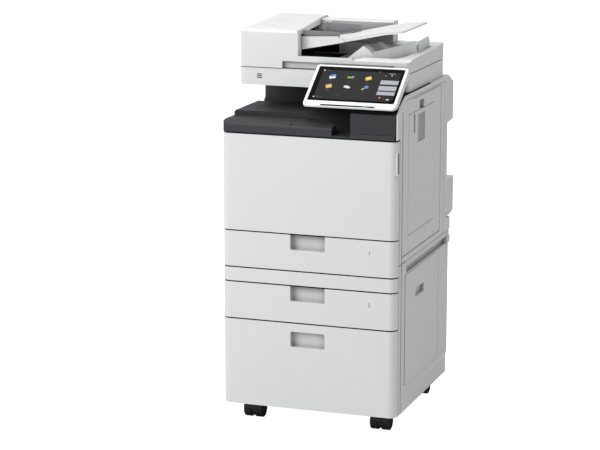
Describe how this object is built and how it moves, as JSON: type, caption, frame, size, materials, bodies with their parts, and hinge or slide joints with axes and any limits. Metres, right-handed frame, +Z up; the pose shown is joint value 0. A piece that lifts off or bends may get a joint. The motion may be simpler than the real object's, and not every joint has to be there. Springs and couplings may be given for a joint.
{
  "type": "photocopier",
  "caption": "Floor-standing office photocopier: cabinet on casters, paper drawers, print engine with doors, exit tray, flatbed reader, document feeder lid and tilting touch panel.",
  "frame": {"origin": "on the floor, below the middle of the machine's bounding box", "axes": "+Z up, +X to the operator's right, the operator stands at -Y and faces +Y"},
  "size_m": [0.511, 0.61, 1.12],
  "materials": {
    "white_cover": "fine spark-eroded texture",
    "side_cover": "fine spark-eroded texture",
    "black_cover": "fine texture",
    "panel_bezel": "semi gloss",
    "dark_glass": "gloss",
    "platen_glass": "polished",
    "roller_rubber": "matte",
    "zinc_steel": "zinc plated",
    "tray_plastic": "fine texture",
    "toner_plastic": "satin",
    "fuser_plastic": "satin"
  },
  "bodies": {
    "machine": {"base_plate": "zinc_steel", "cabinet_left_cover": "side_cover", "cabinet_right_cover": "side_cover", "cabinet_rear_cover": "side_cover", "deck_plate": "zinc_steel", "front_strip": "white_cover", "main_left_cover": "side_cover", "main_right_cover": "side_cover", "main_rear_cover": "side_cover", "rear_lower_cover": "side_cover", "rear_upper_cover": "side_cover", "ac_inlet": "black_cover", "inner_front_panel": "side_cover", "exit_tray": "black_cover", "panel_stand": "black_cover", "transfer_unit": "toner_plastic", "laser_unit": "zinc_steel", "fixing_unit": "fuser_plastic", "reader_housing": "white_cover", "platen_glass": "platen_glass"},
    "caster_front_left": {"caster_hood_front_left": "black_cover"},
    "wheels_front_left": {"caster_wheels_front_left": "roller_rubber"},
    "caster_front_right": {"caster_hood_front_right": "black_cover"},
    "wheels_front_right": {"caster_wheels_front_right": "roller_rubber"},
    "caster_rear_left": {"caster_hood_rear_left": "black_cover"},
    "wheels_rear_left": {"caster_wheels_rear_left": "roller_rubber"},
    "caster_rear_right": {"caster_hood_rear_right": "black_cover"},
    "wheels_rear_right": {"caster_wheels_rear_right": "roller_rubber"},
    "storage_drawer": {"storage_drawer_front": "white_cover", "storage_drawer_tray": "tray_plastic"},
    "drawer_2": {"drawer_2_front": "white_cover", "drawer_2_tray": "tray_plastic"},
    "drawer_2_lift": {"drawer_2_lift_plate": "zinc_steel"},
    "drawer_1": {"drawer_1_front": "white_cover", "drawer_1_tray": "tray_plastic"},
    "drawer_1_lift": {"drawer_1_lift_plate": "zinc_steel"},
    "front_door": {"front_door": "white_cover"},
    "right_door": {"right_door": "side_cover"},
    "bypass_tray": {"bypass_tray": "side_cover"},
    "lower_right_door": {"lower_right_door": "side_cover"},
    "operation_panel": {"operation_panel": "panel_bezel", "touch_screen": "dark_glass", "status_bar": "dark_glass"},
    "scan_carriage": {"scan_carriage": "black_cover"},
    "feeder": {"feeder_base": "white_cover", "feeder_rear_wall": "white_cover", "document_pad": "panel_bezel"},
    "feeder_cover": {"feeder_cover": "white_cover"},
    "document_tray": {"document_tray": "white_cover"},
    "guide_front": {"document_guide_front": "white_cover"},
    "guide_rear": {"document_guide_rear": "white_cover"},
    "stopper_tab": {"stopper_tab": "white_cover"},
    "feeder_roller": {"feeder_roller": "roller_rubber"},
    "exit_roller": {"exit_roller": "roller_rubber"},
    "exhaust_fan": {"exhaust_fan": "black_cover"},
    "toner_bottle_yellow": {"toner_bottle_yellow": "toner_plastic"},
    "toner_bottle_magenta": {"toner_bottle_magenta": "toner_plastic"},
    "toner_bottle_cyan": {"toner_bottle_cyan": "toner_plastic"},
    "toner_bottle_black": {"toner_bottle_black": "toner_plastic"},
    "power_switch": {"power_switch": "black_cover"}
  },
  "joints": [
    {"name": "caster_swivel_front_left", "type": "hinge", "parent": "machine", "child": "caster_front_left", "pos_m": [-0.19, -0.223, 0.058], "axis": [0, 0, 1], "continuous": true},
    {"name": "wheel_spin_front_left", "type": "hinge", "parent": "caster_front_left", "child": "wheels_front_left", "pos_m": [-0.19, -0.206, 0.025], "axis": [1, 0, 0], "continuous": true},
    {"name": "caster_swivel_front_right", "type": "hinge", "parent": "machine", "child": "caster_front_right", "pos_m": [0.19, -0.223, 0.058], "axis": [0, 0, 1], "continuous": true},
    {"name": "wheel_spin_front_right", "type": "hinge", "parent": "caster_front_right", "child": "wheels_front_right", "pos_m": [0.19, -0.206, 0.025], "axis": [1, 0, 0], "continuous": true},
    {"name": "caster_swivel_rear_left", "type": "hinge", "parent": "machine", "child": "caster_rear_left", "pos_m": [-0.19, 0.16, 0.058], "axis": [0, 0, 1], "continuous": true},
    {"name": "wheel_spin_rear_left", "type": "hinge", "parent": "caster_rear_left", "child": "wheels_rear_left", "pos_m": [-0.19, 0.177, 0.025], "axis": [1, 0, 0], "continuous": true},
    {"name": "caster_swivel_rear_right", "type": "hinge", "parent": "machine", "child": "caster_rear_right", "pos_m": [0.19, 0.16, 0.058], "axis": [0, 0, 1], "continuous": true},
    {"name": "wheel_spin_rear_right", "type": "hinge", "parent": "caster_rear_right", "child": "wheels_rear_right", "pos_m": [0.19, 0.177, 0.025], "axis": [1, 0, 0], "continuous": true},
    {"name": "storage_drawer_slide", "type": "slide", "parent": "machine", "child": "storage_drawer", "axis": [0, -1, 0], "range_m": [0, 0.38]},
    {"name": "drawer_2_slide", "type": "slide", "parent": "machine", "child": "drawer_2", "axis": [0, -1, 0], "range_m": [0, 0.38]},
    {"name": "drawer_2_lift_hinge", "type": "hinge", "parent": "drawer_2", "child": "drawer_2_lift", "pos_m": [-0.11, -0.1, 0.3281], "axis": [0, -1, 0], "range_deg": [0, 7]},
    {"name": "drawer_1_slide", "type": "slide", "parent": "machine", "child": "drawer_1", "axis": [0, -1, 0], "range_m": [0, 0.38]},
    {"name": "drawer_1_lift_hinge", "type": "hinge", "parent": "drawer_1", "child": "drawer_1_lift", "pos_m": [-0.11, -0.1, 0.4771], "axis": [0, -1, 0], "range_deg": [0, 7]},
    {"name": "front_door_hinge", "type": "hinge", "parent": "machine", "child": "front_door", "pos_m": [-0.249, -0.275, 0.703], "axis": [0, 0, -1], "range_deg": [0, 100]},
    {"name": "right_door_hinge", "type": "hinge", "parent": "machine", "child": "right_door", "pos_m": [0.252, 0.136, 0.72], "axis": [0, 0, 1], "range_deg": [0, 80]},
    {"name": "bypass_tray_hinge", "type": "hinge", "parent": "right_door", "child": "bypass_tray", "pos_m": [0.253, -0.054, 0.562], "axis": [0, 1, 0], "range_deg": [0, 70]},
    {"name": "lower_right_door_hinge", "type": "hinge", "parent": "machine", "child": "lower_right_door", "pos_m": [0.25, -0.034, 0.134], "axis": [0, 1, 0], "range_deg": [0, 75]},
    {"name": "operation_panel_tilt", "type": "hinge", "parent": "machine", "child": "operation_panel", "pos_m": [0.118, -0.179, 0.972], "axis": [-1, 0, 0], "range_deg": [0, 15]},
    {"name": "scan_carriage_slide", "type": "slide", "parent": "machine", "child": "scan_carriage", "axis": [1, 0, 0], "range_m": [0, 0.385]},
    {"name": "feeder_hinge", "type": "hinge", "parent": "machine", "child": "feeder", "pos_m": [0, 0.2022, 1.0052], "axis": [-1, 0, 0], "range_deg": [0, 60]},
    {"name": "feeder_cover_hinge", "type": "hinge", "parent": "feeder", "child": "feeder_cover", "pos_m": [-0.2525, 0.025, 1.1035], "axis": [0, -1, 0], "range_deg": [0, 75]},
    {"name": "document_tray_hinge", "type": "hinge", "parent": "feeder", "child": "document_tray", "pos_m": [-0.0775, 0.005, 1.107], "axis": [0, -1, 0], "range_deg": [0, 30]},
    {"name": "guide_front_slide", "type": "slide", "parent": "document_tray", "child": "guide_front", "axis": [0, 1, 0], "range_m": [0, 0.07]},
    {"name": "guide_rear_slide", "type": "slide", "parent": "document_tray", "child": "guide_rear", "axis": [0, 1, 0], "range_m": [-0.07, 0]},
    {"name": "stopper_tab_hinge", "type": "hinge", "parent": "feeder", "child": "stopper_tab", "pos_m": [0.22, 0.0735, 1.044], "axis": [0, -1, 0], "range_deg": [0, 88]},
    {"name": "feeder_roller_spin", "type": "hinge", "parent": "feeder", "child": "feeder_roller", "pos_m": [-0.106, 0.005, 1.079], "axis": [0, 1, 0], "continuous": true},
    {"name": "exit_roller_spin", "type": "hinge", "parent": "machine", "child": "exit_roller", "pos_m": [0.133, -0.065, 0.882], "axis": [0, 1, 0], "continuous": true},
    {"name": "exhaust_fan_spin", "type": "hinge", "parent": "machine", "child": "exhaust_fan", "pos_m": [-0.15, 0.191, 0.72], "axis": [0, 1, 0], "continuous": true},
    {"name": "toner_bottle_spin_yellow", "type": "hinge", "parent": "machine", "child": "toner_bottle_yellow", "pos_m": [-0.15, -0.095, 0.776], "axis": [0, 1, 0], "continuous": true},
    {"name": "toner_bottle_spin_magenta", "type": "hinge", "parent": "machine", "child": "toner_bottle_magenta", "pos_m": [-0.074, -0.095, 0.776], "axis": [0, 1, 0], "continuous": true},
    {"name": "toner_bottle_spin_cyan", "type": "hinge", "parent": "machine", "child": "toner_bottle_cyan", "pos_m": [0.002, -0.095, 0.776], "axis": [0, 1, 0], "continuous": true},
    {"name": "toner_bottle_spin_black", "type": "hinge", "parent": "machine", "child": "toner_bottle_black", "pos_m": [0.078, -0.095, 0.776], "axis": [0, 1, 0], "continuous": true},
    {"name": "power_switch_rock", "type": "hinge", "parent": "machine", "child": "power_switch", "pos_m": [0.2, -0.2625, 0.808], "axis": [1, 0, 0], "range_deg": [0, 8]}
  ],
  "couplings": [
    {"joint": "guide_rear_slide", "follows": "guide_front_slide", "ratio": -1}
  ]
}
